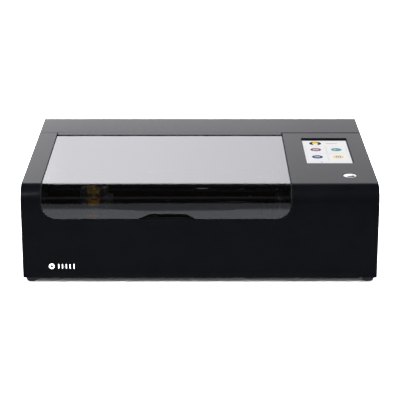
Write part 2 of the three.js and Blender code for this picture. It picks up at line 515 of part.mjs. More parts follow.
// ---------------------------------------------------------------- right compartment
put("power_supply", add(box(206, 296, -60, 66, 22, 96), box(200, 206.4, -50, 50, 24, 42)), 0x9c9ea2, { metal: 0.7, rough: 0.5 });
put("main_board", add(
  box(166, 167.6, -180, 20, 34, 128), box(167, 176, -170, -140, 100, 118),
  box(167, 172, -120, -90, 60, 90), box(167, 178, -60, -20, 104, 120), box(167, 174, -30, 10, 44, 60)),
  0x1f5a3a, { rough: 0.6 });

// touch screen
const s = SCREEN;
put("screen_glass", prismZ(roundRect(s.x0 - 4, s.x1 + 4, s.y0 - 4, s.y1 + 4, 3, 3), s.z - 2.2, s.z), 0x0a0a0c,
  { rough: 0.1 });
put("screen_module", box(s.x0 - 2, s.x1 + 2, s.y0 - 2, s.y1 + 2, s.z - 12, s.z - 2.5), 0x2a2c30, { rough: 0.6 });

// start button
const b = BUTTON;
put("start_button", turned("z", b.x, b.y, [[0, 168], [8, 168], [8, 171.4], [b.r, 171.4], [b.r, b.top - 1],
  [b.r - 0.9, b.top - 0.1], [b.r - 2.4, b.top], [0, b.top - 0.5]], 40), 0x9a9c9e, { metal: 1, rough: 0.3 });
put("button_housing", cut(add(
  rod("z", b.x, b.y, 15.6, 172.4, 174.6, 32), rod("z", b.x, b.y, 12.4, 150, 176.8, 32)),
  rod("z", b.x, b.y, b.r + 0.35, 169.6, 190, 40), rod("z", b.x, b.y, 8.4, 164, 190, 24)), DARK,
  { rough: 0.4 });

// rear connectors
const in0 = cut(
  add(box(241, 295, D / 2 + GAP, D / 2 + 2.5, 25, 98), box(244, 292, D / 2 - 24, D / 2 + 1, 28, 95)),
  prismY(rounded([[256, 34], [280, 34], [280, 48], [276, 52], [260, 52], [256, 48]]), D / 2 - 16, D / 2 + 5),
  box(256.4, 279.6, D / 2 - 15, D / 2 + 5, 64.4, 90.6));
const pins = [[262, 42.4], [268, 47.4], [274, 42.4]].map(([x, z]) =>
  box(x - 1, x + 1, D / 2 - 17, D / 2 - 2, z - 2, z + 2));
put("power_inlet", add(in0, ...pins,
  box(256, 259.2, D / 2 - 9.5, D / 2 - 7, 76.4, 78.6), box(276.8, 280, D / 2 - 9.5, D / 2 - 7, 76.4, 78.6)), BLACK,
  { rough: 0.45 });
const sw = { y: D / 2 - 4, z: 77.5 };
put("rocker_switch", prismX([[sw.y + 6.4, sw.z + 11.4], [sw.y + 3.8, sw.z], [sw.y + 3.8, sw.z - 11.4],
  [sw.y - 2, sw.z - 11.4], [sw.y - 2, sw.z + 11.4]].map(([y, z]) => [y, z]), 259.8, 276.2), 0x8c1c1c,
  { rough: 0.35 });
put("rear_ports", cut(
  add(box(242, 294, D / 2 + GAP, D / 2 + 2, 106, 138), box(247, 289, D / 2 - 18, D / 2 + 1, 111, 133)),
  box(250, 266, D / 2 - 12, D / 2 + 5, 114, 128),
  box(271, 285.4, D / 2 - 12, D / 2 + 5, 117.4, 124.6)), 0x8d8f92, { metal: 0.8, rough: 0.4 });

export default root;
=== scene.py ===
import math
import bpy, bmesh
from mathutils import Vector, Matrix


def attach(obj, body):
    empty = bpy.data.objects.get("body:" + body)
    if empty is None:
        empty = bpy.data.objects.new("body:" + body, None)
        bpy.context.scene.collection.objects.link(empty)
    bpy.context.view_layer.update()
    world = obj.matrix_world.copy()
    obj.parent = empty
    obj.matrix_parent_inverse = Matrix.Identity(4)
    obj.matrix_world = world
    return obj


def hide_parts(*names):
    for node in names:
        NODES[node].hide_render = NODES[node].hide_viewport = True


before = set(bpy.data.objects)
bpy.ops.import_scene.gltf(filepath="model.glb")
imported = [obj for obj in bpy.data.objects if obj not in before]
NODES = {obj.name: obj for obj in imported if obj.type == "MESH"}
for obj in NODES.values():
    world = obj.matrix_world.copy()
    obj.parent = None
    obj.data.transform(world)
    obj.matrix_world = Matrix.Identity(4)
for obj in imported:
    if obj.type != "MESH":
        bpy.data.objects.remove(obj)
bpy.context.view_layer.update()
SHIFT_Y = -10.0                      # the case's centre in Y, mm, as in the CAD source
HX = -186.0                          # where the head stands in X at rest, mm


def P(x, y, z):
    """Case millimetres to row-frame metres."""
    return Vector((x / 1000.0, (y + SHIFT_Y) / 1000.0, z / 1000.0))


# ------------------------------------------------------------------ camera first
cam_data = bpy.data.cameras.new("camera")
cam = bpy.data.objects.new("camera", cam_data)
bpy.context.scene.collection.objects.link(cam)
cam_data.sensor_width = 36.0
cam_data.lens = 134.04
cam.location = P(0, -2632.97, 968.76)
cam.rotation_euler = (math.radians(71.345), 0, 0)
bpy.context.scene.camera = cam


# ------------------------------------------------------------------ node helpers
def new_mat(name):
    m = bpy.data.materials.new(name)
    m.use_nodes = True
    nt = m.node_tree
    for n in list(nt.nodes):
        nt.nodes.remove(n)
    out = nt.nodes.new("ShaderNodeOutputMaterial")
    b = nt.nodes.new("ShaderNodeBsdfPrincipled")
    nt.links.new(b.outputs[0], out.inputs["Surface"])
    return m, nt, b


def node(nt, kind, **kw):
    n = nt.nodes.new(kind)
    for k, v in kw.items():
        setattr(n, k, v)
    return n


def coords(nt, scale=(1, 1, 1), rot=(0, 0, 0)):
    tc = node(nt, "ShaderNodeTexCoord")
    mp = node(nt, "ShaderNodeMapping")
    mp.inputs["Scale"].default_value = scale
    mp.inputs["Rotation"].default_value = rot
    nt.links.new(tc.outputs["Object"], mp.inputs["Vector"])
    return mp.outputs["Vector"]


def noise(nt, vec, scale, detail=3.0, rough=0.55, distort=0.0):
    n = node(nt, "ShaderNodeTexNoise")
    n.inputs["Scale"].default_value = scale
    n.inputs["Detail"].default_value = detail
    n.inputs["Roughness"].default_value = rough
    n.inputs["Distortion"].default_value = distort
    nt.links.new(vec, n.inputs["Vector"])
    return n.outputs["Fac"]


def ramp(nt, fac, stops):
    r = node(nt, "ShaderNodeValToRGB")
    el = r.color_ramp.elements
    while len(el) < len(stops):
        el.new(0.5)
    for e, (p, c) in zip(el, stops):
        e.position = p
        e.color = (*c, 1) if len(c) == 3 else c
    nt.links.new(fac, r.inputs["Fac"])
    return r.outputs["Color"]


def remap(nt, fac, a, b, c, d):
    r = node(nt, "ShaderNodeMapRange")
    for k, v in zip(("From Min", "From Max", "To Min", "To Max"), (a, b, c, d)):
        r.inputs[k].default_value = v
    nt.links.new(fac, r.inputs["Value"])
    return r.outputs["Result"]


def math_node(nt, op, a, b=None, clamp=False):
    n = node(nt, "ShaderNodeMath", operation=op, use_clamp=clamp)
    for i, v in enumerate((a, b)):
        if v is None:
            continue
        if isinstance(v, (int, float)):
            n.inputs[i].default_value = v
        else:
            nt.links.new(v, n.inputs[i])
    return n.outputs[0]


def mix_col(nt, fac, a, b):
    n = node(nt, "ShaderNodeMix", data_type="RGBA")
    for sock, v in (("A", a), ("B", b)):
        s = [i for i in n.inputs if i.name == sock and i.type == "RGBA"][0]
        if isinstance(v, (tuple, list)):
            s.default_value = (*v, 1) if len(v) == 3 else v
        else:
            nt.links.new(v, s)
    if isinstance(fac, (int, float)):
        n.inputs[0].default_value = fac
    else:
        nt.links.new(fac, n.inputs[0])
    return [o for o in n.outputs if o.type == "RGBA"][0]


def edge_mask(nt, radius, lo=0.985, hi=0.80):
    """0 on flats, towards 1 on edges narrower than radius."""
    bv = node(nt, "ShaderNodeBevel", samples=4)
    bv.inputs["Radius"].default_value = radius
    g = node(nt, "ShaderNodeNewGeometry")
    d = node(nt, "ShaderNodeVectorMath", operation="DOT_PRODUCT")
    nt.links.new(bv.outputs["Normal"], d.inputs[0])
    nt.links.new(g.outputs["Normal"], d.inputs[1])
    return remap(nt, d.outputs["Value"], lo, hi, 0.0, 1.0)


def finish(name, base, rough=0.45, metal=0.0, ior=1.5, var=0.12, var_scale=35.0,
           rough_var=0.07, rough_scale=90.0, grain=0.08, grain_scale=900.0, grain_dist=0.0002,
           wear=None, wear_amt=0.5, wear_radius=0.0007, stretch=(1, 1, 1), coat=0.0, coat_rough=0.1,
           sheen=0.0, aniso=0.0, dust=None, spec_tint=None):
    m, nt, b = new_mat(name)
    v = coords(nt, stretch)
    u = coords(nt)
    n1 = noise(nt, u, var_scale, 4, 0.6)
    dark = tuple(c * (1 - var) for c in base)
    light = tuple(min(1, c * (1 + var)) for c in base)
    col = ramp(nt, n1, [(0.32, dark), (0.68, light)])
    n2 = noise(nt, v, rough_scale, 3, 0.6)
    r = remap(nt, n2, 0.3, 0.7, max(0.02, rough - rough_var), min(1, rough + rough_var))
    if wear is not None:
        e = edge_mask(nt, wear_radius)
        n4 = noise(nt, u, 260, 3, 0.7)
        e = math_node(nt, "MULTIPLY", e, remap(nt, n4, 0.42, 0.62, 0.15, wear_amt), clamp=True)
        col = mix_col(nt, e, col, wear)
    if dust is not None:
        n5 = noise(nt, u, 14, 5, 0.65)
        col = mix_col(nt, remap(nt, n5, 0.5, 0.8, 0.0, dust[1]), col, dust[0])
    nt.links.new(col, b.inputs["Base Color"])
    nt.links.new(r, b.inputs["Roughness"])
    n3 = noise(nt, v, grain_scale, 2, 0.5)
    bp = node(nt, "ShaderNodeBump")
    bp.inputs["Strength"].default_value = grain
    bp.inputs["Distance"].default_value = grain_dist
    nt.links.new(n3, bp.inputs["Height"])
    nt.links.new(bp.outputs["Normal"], b.inputs["Normal"])
    b.inputs["Metallic"].default_value = metal
    b.inputs["IOR"].default_value = ior
    b.inputs["Coat Weight"].default_value = coat
    b.inputs["Coat Roughness"].default_value = coat_rough
    if aniso:
        b.inputs["Anisotropic"].default_value = aniso
    if spec_tint:
        b.inputs["Specular Tint"].default_value = (*spec_tint, 1)
    return m


# ------------------------------------------------------------------ materials
M = {}
M["paint"] = finish("paint_satin_black", (0.0006, 0.0007, 0.0009), rough=0.25, ior=1.2, var=0.12, var_scale=22,
                    rough_var=0.02, rough_scale=160, grain=0.015, grain_scale=1100, grain_dist=0.00008,
                    wear=(0.012, 0.013, 0.015), wear_amt=0.35, wear_radius=0.0006, spec_tint=(0.285, 0.30, 0.345))
M["matt_black"] = finish("matt_black_sheet", (0.0035, 0.0035, 0.004), rough=0.55, ior=1.2, var=0.2, grain=0.12,
                         wear=(0.10, 0.10, 0.10), wear_amt=0.4, dust=((0.02, 0.017, 0.014), 0.25))
M["rubber"] = finish("foot_rubber", (0.0035, 0.0035, 0.0035), rough=0.72, ior=1.45, var=0.2, grain=0.35,
                     grain_scale=1800, dust=((0.012, 0.0115, 0.011), 0.3))
M["belt"] = finish("belt_rubber", (0.005, 0.005, 0.005), rough=0.65, ior=1.45, grain=0.3, grain_scale=1500)
M["alu"] = finish("satin_aluminium", (0.66, 0.67, 0.68), rough=0.30, metal=1.0, var=0.05, grain=0.10,
                  grain_scale=500, stretch=(0.05, 1, 1), rough_var=0.08, rough_scale=400, wear=(0.85, 0.85, 0.86), wear_amt=0.5)
M["alu_y"] = finish("satin_aluminium_long", (0.62, 0.63, 0.64), rough=0.30, metal=1.0, var=0.05, grain=0.10,
                    grain_scale=500, stretch=(1, 0.05, 1), rough_var=0.08, rough_scale=400, wear=(0.85, 0.85, 0.86), wear_amt=0.5)
M["anod_black"] = finish("black_anodised", (0.005, 0.005, 0.006), rough=0.34, ior=1.35, var=0.15, grain=0.10,
                         grain_scale=1500, wear=(0.45, 0.45, 0.46), wear_amt=0.35)
M["anod_grey"] = finish("grey_anodised", (0.20, 0.205, 0.215), rough=0.32, metal=0.9, var=0.06, grain=0.10,
                        grain_scale=1300, wear=(0.7, 0.7, 0.7), wear_amt=0.4)
M["orange"] = finish("orange_anodised", (0.70, 0.34, 0.06), rough=0.24, metal=0.6, var=0.08, grain=0.08,
                     grain_scale=1500, wear=(0.95, 0.62, 0.30), wear_amt=0.5)
M["steel"] = finish("ground_steel", (0.58, 0.58, 0.59), rough=0.24, metal=1.0, var=0.06, grain=0.12,
                    grain_scale=700, stretch=(0.05, 1, 1), rough_var=0.1, rough_scale=300)
M["zinc"] = finish("zinc_plated", (0.50, 0.50, 0.52), rough=0.36, metal=1.0, var=0.14, var_scale=160, grain=0.08,
                   grain_scale=900)
M["sheet_zinc"] = finish("galvanised_sheet", (0.46, 0.47, 0.49), rough=0.40, metal=1.0, var=0.22, var_scale=70,
                         grain=0.06, grain_scale=600, wear=(0.7, 0.7, 0.7), wear_amt=0.4)
M["motor"] = finish("motor_black", (0.008, 0.008, 0.009), rough=0.42, ior=1.5, var=0.15, grain=0.12,
                    grain_scale=1200, wear=(0.5, 0.5, 0.5), wear_amt=0.4)
M["plastic"] = finish("moulded_black_plastic", (0.006, 0.006, 0.0065), rough=0.46, ior=1.48, var=0.10, grain=0.22,
                      grain_scale=2200, grain_dist=0.0001, wear=(0.06, 0.06, 0.06), wear_amt=0.4)
M["plastic_gloss"] = finish("gloss_black_plastic", (0.010, 0.010, 0.011), rough=0.14, ior=1.5, var=0.08, rough_var=0.03,
                            grain=0.03)
M["red"] = finish("switch_red", (0.34, 0.012, 0.012), rough=0.28, ior=1.5, var=0.08, grain=0.06)
M["tank"] = finish("tank_plastic", (0.22, 0.235, 0.24), rough=0.45, ior=1.5, var=0.05, grain=0.15, grain_scale=700)
M["hose"] = finish("silicone_hose", (0.20, 0.225, 0.235), rough=0.30, ior=1.42, var=0.06, grain=0.08)
M["board"] = finish("circuit_board", (0.005, 0.042, 0.020), rough=0.35, ior=1.5, var=0.35, var_scale=300, grain=0.25,
                    grain_scale=1600, wear=(0.4, 0.35, 0.2), wear_amt=0.4)
M["screw"] = finish("screw_black_oxide", (0.030, 0.030, 0.032), rough=0.34, metal=0.8, var=0.2, grain=0.10, grain_scale=2200,
                    wear=(0.5, 0.5, 0.5), wear_amt=0.5, wear_radius=0.0003)
M["screw_bright"] = finish("screw_bright", (0.55, 0.55, 0.56), rough=0.28, metal=1.0, var=0.1, grain=0.10, grain_scale=2200)
M["brass"] = finish("brass", (0.66, 0.43, 0.13), rough=0.24, metal=0.65, var=0.1, grain=0.08, grain_scale=1800)
M["wheel"] = finish("wheel_polymer", (0.30, 0.295, 0.28), rough=0.38, ior=1.5, var=0.05, grain=0.08)
M["bed"] = finish("bed_frame_aluminium", (0.42, 0.42, 0.42), rough=0.38, metal=1.0, var=0.18, var_scale=40, grain=0.1,
                  grain_scale=600, wear=(0.7, 0.7, 0.7), wear_amt=0.5, dust=((0.16, 0.11, 0.07), 0.35))
M["comb"] = finish("honeycomb_foil", (0.30, 0.30, 0.30), rough=0.40, metal=1.0, var=0.30, var_scale=12, grain=0.1,
                   grain_scale=900, dust=((0.10, 0.07, 0.045), 0.6))


def acrylic():
    m, nt, b = new_mat("smoked_acrylic")
    u = coords(nt)
    n = noise(nt, u, 9, 5, 0.7, 0.3)
    s = noise(nt, coords(nt, (1, 0.06, 1)), 900, 2, 0.5)
    r = math_node(nt, "ADD", remap(nt, n, 0.4, 0.75, 0.004, 0.03), remap(nt, s, 0.6, 0.75, 0.0, 0.03))
    nt.links.new(r, b.inputs["Roughness"])
    col = ramp(nt, n, [(0.3, (0.90, 0.90, 0.89)), (0.7, (0.94, 0.94, 0.93))])
    nt.links.new(col, b.inputs["Base Color"])
    bp = node(nt, "ShaderNodeBump")
    bp.inputs["Strength"].default_value = 0.02
    bp.inputs["Distance"].default_value = 0.0002
    nt.links.new(noise(nt, u, 25, 2, 0.5), bp.inputs["Height"])
    nt.links.new(bp.outputs["Normal"], b.inputs["Normal"])
    nt.links.new(bp.outputs["Normal"], b.inputs["Coat Normal"])
    b.inputs["Transmission Weight"].default_value = 1.0
    b.inputs["IOR"].default_value = 1.49
    b.inputs["Coat Weight"].default_value = 1.0
    b.inputs["Coat Roughness"].default_value = 0.01
    b.inputs["Coat IOR"].default_value = 1.49
    out = [n_ for n_ in nt.nodes if n_.type == "OUTPUT_MATERIAL"][0]
    lp = node(nt, "ShaderNodeLightPath")
    tr = node(nt, "ShaderNodeBsdfTransparent")
    tr.inputs["Color"].default_value = (0.9, 0.9, 0.9, 1)
    mx = node(nt, "ShaderNodeMixShader")
    nt.links.new(lp.outputs["Is Shadow Ray"], mx.inputs[0])
    nt.links.new(b.outputs[0], mx.inputs[1])
    nt.links.new(tr.outputs[0], mx.inputs[2])
    nt.links.new(mx.outputs[0], out.inputs["Surface"])
    va = node(nt, "ShaderNodeVolumeAbsorption")
    va.inputs["Color"].default_value = (0.03, 0.03, 0.02, 1)
    va.inputs["Density"].default_value = 380.0
    nt.links.new(va.outputs[0], out.inputs["Volume"])
    return m


M["acrylic"] = acrylic()


def clear_glass(name, tint, tint2):
    m, nt, b = new_mat(name)
    u = coords(nt)
    n = noise(nt, u, 18, 3, 0.6)
    nt.links.new(ramp(nt, n, [(0.3, tint), (0.7, tint2)]), b.inputs["Base Color"])
    nt.links.new(remap(nt, n, 0.3, 0.7, 0.02, 0.06), b.inputs["Roughness"])
    b.inputs["Transmission Weight"].default_value = 0.9
    b.inputs["IOR"].default_value = 1.47
    return m


M["tube"] = clear_glass("tube_glass", (0.80, 0.88, 0.88), (0.86, 0.92, 0.91))


def lit(name, col, strength, rough=0.10, grid=True):
    """A lit picture element: coloured emission under a glossy face, with a fine dot grid."""
    m, nt, b = new_mat(name)
    u = coords(nt, (1, 1, 0))
    v = node(nt, "ShaderNodeTexVoronoi")
    v.inputs["Scale"].default_value = 5200
    v.inputs["Randomness"].default_value = 0.0
    nt.links.new(u, v.inputs["Vector"])
    k = remap(nt, v.outputs["Distance"], 0.0, 0.7, 1.06, 0.94)
    sc = node(nt, "ShaderNodeVectorMath", operation="SCALE")
    sc.inputs[0].default_value = col
    nt.links.new(k, sc.inputs["Scale"])
    nt.links.new(sc.outputs[0], b.inputs["Emission Color"])
    b.inputs["Emission Strength"].default_value = strength
    nt.links.new(ramp(nt, noise(nt, u, 40, 2), [(0.3, tuple(c * 0.018 for c in col)), (0.7, tuple(c * 0.022 for c in col))]),
                 b.inputs["Base Color"])
    nt.links.new(remap(nt, noise(nt, u, 60, 3), 0.3, 0.7, rough * 0.7, rough * 1.3), b.inputs["Roughness"])
    b.inputs["IOR"].default_value = 1.06
    return m


def screen_black():
    m, nt, b = new_mat("screen_glass_black")
    u = coords(nt)
    n = noise(nt, u, 24, 5, 0.7, 0.4)
    nt.links.new(remap(nt, n, 0.35, 0.75, 0.04, 0.12), b.inputs["Roughness"])
    nt.links.new(ramp(nt, n, [(0.3, (0.0012, 0.0012, 0.0014)), (0.7, (0.002, 0.002, 0.0022))]), b.inputs["Base Color"])
    b.inputs["IOR"].default_value = 1.12
    return m


M["screen"] = screen_black()


def spun_metal():
    """Turned face: fine rings round the button's own axis, and an anisotropic gloss along them."""
    m, nt, b = new_mat("spun_metal")
    u = coords(nt)
    cx = P(262, -153, 0)
    tr = node(nt, "ShaderNodeVectorMath", operation="SUBTRACT")
    nt.links.new(u, tr.inputs[0])
    tr.inputs[1].default_value = (cx.x, cx.y, 0)
    fl = node(nt, "ShaderNodeVectorMath", operation="MULTIPLY")
    nt.links.new(tr.outputs[0], fl.inputs[0])
    fl.inputs[1].default_value = (1, 1, 0)
    ln = node(nt, "ShaderNodeVectorMath", operation="LENGTH")
    nt.links.new(fl.outputs[0], ln.inputs[0])
    w = math_node(nt, "SINE", math_node(nt, "MULTIPLY", ln.outputs["Value"], 2 * math.pi / 0.00042))
    bp = node(nt, "ShaderNodeBump")
    bp.inputs["Strength"].default_value = 0.25
    bp.inputs["Distance"].default_value = 0.00002
    nt.links.new(w, bp.inputs["Height"])
    nt.links.new(bp.outputs["Normal"], b.inputs["Normal"])
    n = noise(nt, u, 300, 3)
    nt.links.new(remap(nt, n, 0.3, 0.7, 0.10, 0.15), b.inputs["Roughness"])
    nt.links.new(ramp(nt, n, [(0.3, (0.80, 0.80, 0.80)), (0.7, (0.86, 0.86, 0.86))]), b.inputs["Base Color"])
    cr = node(nt, "ShaderNodeVectorMath", operation="CROSS_PRODUCT")
    nt.links.new(fl.outputs[0], cr.inputs[0])
    cr.inputs[1].default_value = (0, 0, 1)
    nm = node(nt, "ShaderNodeVectorMath", operation="NORMALIZE")
    nt.links.new(cr.outputs[0], nm.inputs[0])
    nt.links.new(nm.outputs[0], b.inputs["Tangent"])
    b.inputs["Metallic"].default_value = 1.0
    b.inputs["Anisotropic"].default_value = 0.25
    return m


M["spun"] = spun_metal()


def print_white():
    return finish("printed_white", (0.78, 0.79, 0.80), rough=0.4, ior=1.45, var=0.04, grain=0.1, grain_scale=1800)


M["print"] = print_white()


# ------------------------------------------------------------------ mesh helpers
def link(o, body, mats=()):
    bpy.context.scene.collection.objects.link(o)
    for m in mats:
        o.data.materials.append(m)
    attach(o, body)
    return o


def from_bm(name, bm, mat, body, smooth=True, bevel=0.0, seg=2, angle=35):
    me = bpy.data.meshes.new(name)
    bmesh.ops.recalc_face_normals(bm, faces=bm.faces)
    bm.to_mesh(me)
    bm.free()
    for p in me.polygons:
        p.use_smooth = smooth
    o = bpy.data.objects.new(name, me)
    link(o, body, [mat])
    if bevel:
        soften(o, bevel, seg, angle)
    elif smooth:
        sharp(o, angle)
    return o


def sharp(o, angle=35):
    e = o.modifiers.new("split", "EDGE_SPLIT")
    e.split_angle = math.radians(angle)
    e.use_edge_sharp = False


def soften(o, width, seg=2, angle=35):
    b = o.modifiers.new("bevel", "BEVEL")
    b.width = width
    b.segments = seg
    b.limit_method = "ANGLE"
    b.angle_limit = math.radians(angle)
    b.harden_normals = False
    b.use_clamp_overlap = True
    w = o.modifiers.new("weighted", "WEIGHTED_NORMAL")
    w.mode = "FACE_AREA"
    w.keep_sharp = False


def dress(name, mat, width=0.0004, seg=2, angle=35):
    """Material and softened edges for a carried-over CAD node."""
    o = NODES[name]
    o.data.materials.clear()
    o.data.materials.append(mat)
    for p in o.data.polygons:
        p.use_smooth = True
        p.material_index = 0
    wd = o.modifiers.new("weld", "WELD")
    wd.merge_threshold = 1e-6
    if width:
        soften(o, width, seg, angle)
    else:
        sharp(o, angle)
    return o


def basis(axis):
    """(u, v, w) directions; w is the axis."""
    return {"x": (Vector((0, 1, 0)), Vector((0, 0, 1)), Vector((1, 0, 0))),
            "y": (Vector((0, 0, 1)), Vector((1, 0, 0)), Vector((0, 1, 0))),
            "z": (Vector((1, 0, 0)), Vector((0, 1, 0)), Vector((0, 0, 1)))}[axis]


def lathe_bm(bm, axis, origin, profile, seg=32, flip=False):
    """profile [(radius, along)] in mm; a radius of 0 closes it on the axis. origin in metres."""
    u, v, w = basis(axis)
    s = -1 if flip else 1
    rings = []
    for r, a in profile:
        if r == 0:
            rings.append([bm.verts.new(origin + w * (s * a / 1000))])
        else:
            rings.append([bm.verts.new(origin + w * (s * a / 1000)
                                       + u * (r / 1000 * math.cos(2 * math.pi * k / seg))
                                       + v * (r / 1000 * math.sin(2 * math.pi * k / seg))) for k in range(seg)])
    for a, b in zip(rings, rings[1:]):
        if len(a) == 1 and len(b) == 1:
            continue
        for k in range(seg):
            j = (k + 1) % seg
            if len(a) == 1:
                bm.faces.new((a[0], b[k], b[j]))
            elif len(b) == 1:
                bm.faces.new((a[k], b[0], a[j]))
            else:
                bm.faces.new((a[k], b[k], b[j], a[j]))


def lathe(name, axis, origin, profile, mat, body, seg=32, flip=False, bevel=0.0, angle=35):
    bm = bmesh.new()
    lathe_bm(bm, axis, origin, profile, seg, flip)
    return from_bm(name, bm, mat, body, bevel=bevel, angle=angle)


def prism_bm(bm, axis, pts, a0, a1):
    """pts in the plane of basis(axis), mm, already in case coordinates."""
    u, v, w = basis(axis)
    off = Vector((0, SHIFT_Y / 1000.0, 0))
    def at(p, a):
        return u * (p[0] / 1000) + v * (p[1] / 1000) + w * (a / 1000) + off
    lo = [bm.verts.new(at(p, a0)) for p in pts]
    hi = [bm.verts.new(at(p, a1)) for p in pts]
    bm.faces.new(lo[::-1])
    bm.faces.new(hi)
    n = len(pts)
    for k in range(n):
        j = (k + 1) % n
        bm.faces.new((lo[k], lo[j], hi[j], hi[k]))


def circle(cx, cy, r, n=32):
    return [(cx + r * math.cos(2 * math.pi * k / n), cy + r * math.sin(2 * math.pi * k / n)) for k in range(n)]


def rrect(x0, x1, y0, y1, r, n=4):
    out = []
    for cx, cy, a in ((x1 - r, y1 - r, 0), (x0 + r, y1 - r, 90), (x0 + r, y0 + r, 180), (x1 - r, y0 + r, 270)):
        for k in range(n + 1):
            t = math.radians(a + 90 * k / n)
            out.append((cx + r * math.cos(t), cy + r * math.sin(t)))
    return out


def rot(pts, a, cx, cy):
    c, s = math.cos(a), math.sin(a)
    return [(cx + (x - cx) * c - (y - cy) * s, cy + (x - cx) * s + (y - cy) * c) for x, y in pts]


def box_bm(bm, x0, x1, y0, y1, z0, z1):
    prism_bm(bm, "z", [(x0, y0), (x1, y0), (x1, y1), (x0, y1)], z0, z1)


# ------------------------------------------------------------------ carried-over CAD nodes
for n in ("front_casing", "rear_cover", "back_panel", "left_panel", "right_panel", "base_plate", "hinge_bar"):
    dress(n, M["paint"], 0.0004, 2)
for n in ("foot_front_left", "foot_front_right", "foot_rear_left", "foot_rear_right"):
    dress(n, M["rubber"], 0.0004)
for n in ("lid_ledge_left", "lid_ledge_right", "chamber_front", "bulkhead", "compartment_wall"):
    dress(n, M["matt_black"], 0.0003, 1)
dress("lid", M["acrylic"], 0.0005, 2)
dress("hinge_leaf", M["matt_black"], 0.0)
dress("bed_frame", M["bed"], 0.0004)
for n in ("rail_left", "rail_right"):
    dress(n, M["alu_y"], 0.0003)
for n in ("y_belt_left", "y_belt_right", "x_belt"):
    dress(n, M["belt"], 0.0)
dress("y_drive_shaft", M["steel"], 0.0)
for n in ("y_idler_left", "y_idler_right", "x_pulley", "x_idler"):
    dress(n, M["alu"], 0.0)
for n in ("y_motor", "x_motor"):
    dress(n, M["motor"], 0.0004)
dress("mirror_3", M["brass"], 0.0004)
for n in ("carriage_left", "carriage_right", "mirror_2", "mirror_1"):
    dress(n, M["anod_black"], 0.0004)
dress("gantry_beam", M["anod_black"], 0.0004)
dress("head_carriage", M["anod_grey"], 0.0004)
dress("lens_barrel", M["orange"], 0.0002, 1)
dress("focus_probe", M["steel"], 0.0)
dress("laser_tube", M["tube"], 0.0)
for n in ("tube_bracket_left", "tube_bracket_right", "fan_frame", "fan_impeller", "duct_collar"):
    dress(n, M["plastic"], 0.0003)
dress("water_tank", M["tank"], 0.0008)
for n in ("coolant_hose_in", "coolant_hose_out"):
    dress(n, M["hose"], 0.0)
dress("radiator", M["motor"], 0.0003)
dress("power_supply", M["sheet_zinc"], 0.0004)
dress("main_board", M["board"], 0.0002, 1)
dress("screen_glass", M["screen"], 0.0002, 1)
dress("screen_module", M["plastic"], 0.0002, 1)
dress("power_inlet", M["plastic"], 0.0003)
dress("rocker_switch", M["red"], 0.0005)
dress("rear_ports", M["zinc"], 0.0002, 1)
dress("button_housing", M["plastic"], 0.0003)
dress("start_button", M["spun"], 0.0003)
dress("honeycomb", M["comb"], 0.0)

# ------------------------------------------------------------------ start button: spun cap
bx, by = 262, -153
prof = [(0, 178.18)]
for i in range(1, 13):
    r = 9.4 * i / 12
    prof.append((r, 178.18 - 1.6 * (r / 9.4) ** 2))
prof += [(9.9, 176.50), (10.3, 176.62), (10.9, 176.58), (11.3, 176.4), (11.55, 176.1), (11.6, 175.7), (11.6, 171.5), (7.9, 171.4), (7.9, 168.1), (0, 168.1)]
cap = lathe("button_cap", "z", P(bx, by, 0), prof, M["spun"], "button", 64, angle=50)
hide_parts("start_button")

# ------------------------------------------------------------------ touch screen picture
SX0, SX1, SY0, SY1 = 192.6, 274.6, -79.2, 68.0
Z0 = 174.72


def flat(name, pts, z, mat, th=0.06, body="machine"):
    bm = bmesh.new()
    prism_bm(bm, "z", pts, z, z + th)
    return from_bm(name, bm, mat, body, smooth=False)


def ui(s, t):
    return SX0 + s * (SX1 - SX0), SY1 - t * (SY1 - SY0)


white = lit("display_white", (1.0, 1.0, 1.01), 0.66)
grey1 = lit("display_card_line", (0.72, 0.73, 0.75), 0.66)
card = lit("display_card", (0.97, 0.97, 0.98), 0.69)
flat("display_area", rrect(SX0, SX1, SY0, SY1, 0.6, 2), Z0, white)
zc = Z0 + 0.08
for i, (s0, s1, t0, t1) in enumerate(((0.05, 0.488, 0.262, 0.555), (0.512, 0.95, 0.262, 0.555), (0.05, 0.488, 0.585, 0.875), (0.512, 0.95, 0.585, 0.875))):
    (x0, y0), (x1, y1) = ui(s0, t1), ui(s1, t0)
    flat(f"display_card_edge_{i}", rrect(x0 - 0.5, x1 + 0.5, y0 - 0.5, y1 + 0.5, 2.2), zc, grey1)
    flat(f"display_card_{i}", rrect(x0, x1, y0, y1, 2.0), zc + 0.03, card)
zi = zc + 0.12
cols = {
    "black": lit("display_black", (0.012, 0.012, 0.014), 0.3), "yellow": lit("display_yellow", (0.95, 0.62, 0.06), 0.8),
    "violet": lit("display_violet", (0.13, 0.10, 0.36), 0.35), "pink": lit("display_pink", (0.90, 0.50, 0.42), 0.6),
    "teal": lit("display_teal", (0.03, 0.50, 0.52), 0.6), "red": lit("display_red", (0.80, 0.10, 0.03), 0.65),
    "navy": lit("display_navy", (0.015, 0.05, 0.27), 0.5), "pale": lit("display_pale", (0.72, 0.76, 0.85), 0.62),
    "blue": lit("display_blue", (0.05, 0.18, 0.85), 0.9), "grey": lit("display_grey", (0.42, 0.43, 0.45), 0.7),
}
x, y = ui(0.286, 0.122)
flat("icon_a_0", circle(x, y, 11.2), zi, cols["black"])
flat("icon_a_1", rot(rrect(x - 5.2, x + 5.2, y - 8.5, y + 8.5, 5.0, 6), 0, x, y), zi + 0.08, cols["yellow"])
flat("icon_a_2", circle(x, y - 8.4, 4.2, 20), zi + 0.16, white)
x, y = ui(0.265, 0.395)
flat("icon_b_0", circle(x, y, 10.0), zi, cols["violet"])
flat("icon_b_1", rrect(x - 5.6, x + 5.6, y - 5.4, y + 5.4, 2.4), zi + 0.08, cols["pink"])
x, y = ui(0.728, 0.395)
